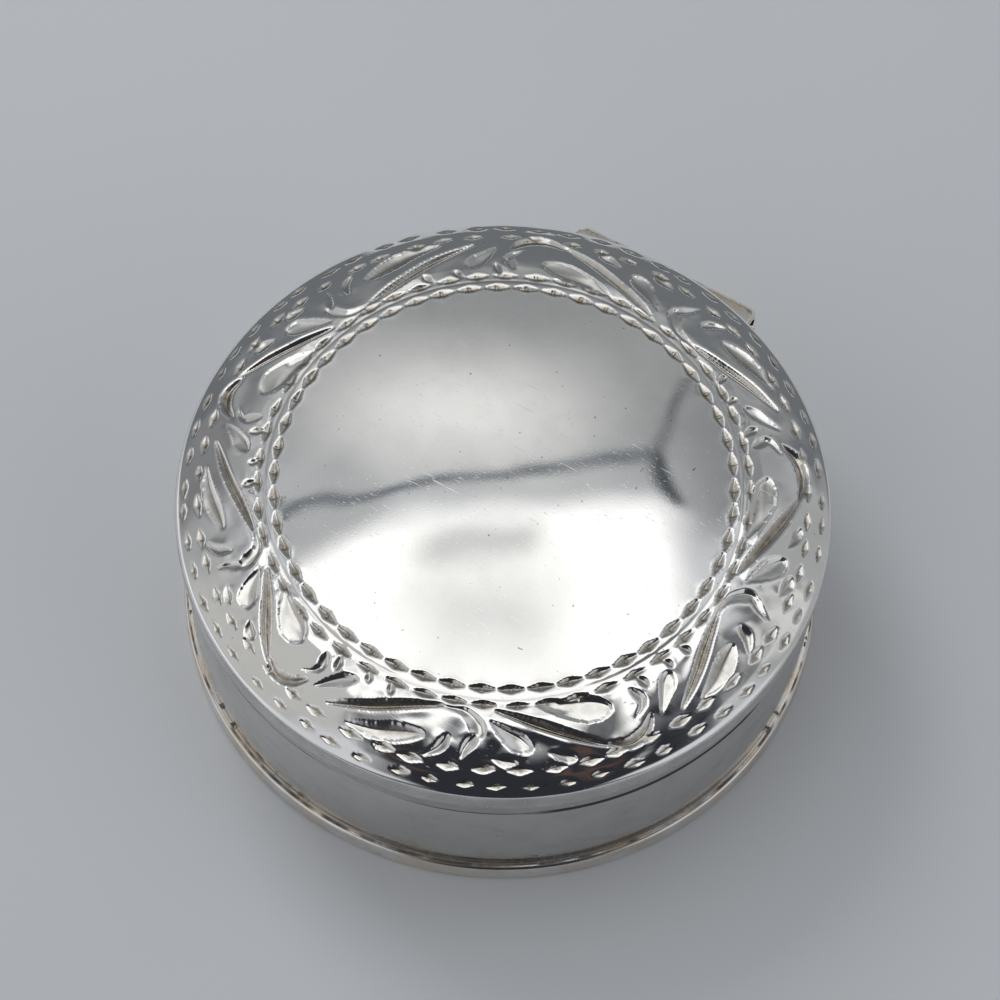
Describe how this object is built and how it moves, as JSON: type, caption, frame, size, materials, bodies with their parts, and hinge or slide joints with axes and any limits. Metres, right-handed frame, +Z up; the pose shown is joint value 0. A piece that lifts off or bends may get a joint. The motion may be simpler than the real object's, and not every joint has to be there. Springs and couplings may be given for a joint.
{
  "type": "pill box",
  "caption": "Small round silver pill box: hinged domed lid with an engraved scroll border round a plain centre, inner bezel, straight side and beaded foot.",
  "frame": {"origin": "centre of the flat underside", "axes": "+Z up through the lid; +Y towards the hinge, so the lid opens from the -Y side; +X along the hinge pin"},
  "size_m": [0.0362, 0.0373, 0.0132],
  "materials": {
    "engraved_silver": "polished silver, finely scratched, with tarnish in the engraved cuts",
    "side_silver": "soft polish with fine scratches and spots of tarnish near the joints",
    "inside_silver": "satin silver, slightly warm",
    "base_silver": "soft polish, worn underneath",
    "rim_silver": "bright where rubbed, tarnished in the corner above it",
    "hinge_silver": "soft polish with warm tarnish"
  },
  "bodies": {
    "box": {"body_wall": "side_silver", "inner_bezel": "inside_silver", "base_tray": "base_silver", "foot_rim": "rim_silver", "box_hinge_bearer": "hinge_silver", "box_knuckle_1": "hinge_silver", "box_knuckle_3": "hinge_silver", "box_knuckle_5": "hinge_silver", "hinge_pin": "hinge_silver"},
    "lid": {"lid_dome": "engraved_silver", "lid_band": "side_silver", "lid_hinge_bearer": "hinge_silver", "lid_knuckle_2": "hinge_silver", "lid_knuckle_4": "hinge_silver"}
  },
  "joints": [
    {"name": "lid_hinge", "type": "hinge", "parent": "box", "child": "lid", "pos_m": [0, 0.0183, 0.0081], "axis": [-1, 0, 0], "range_deg": [0, 110]}
  ]
}
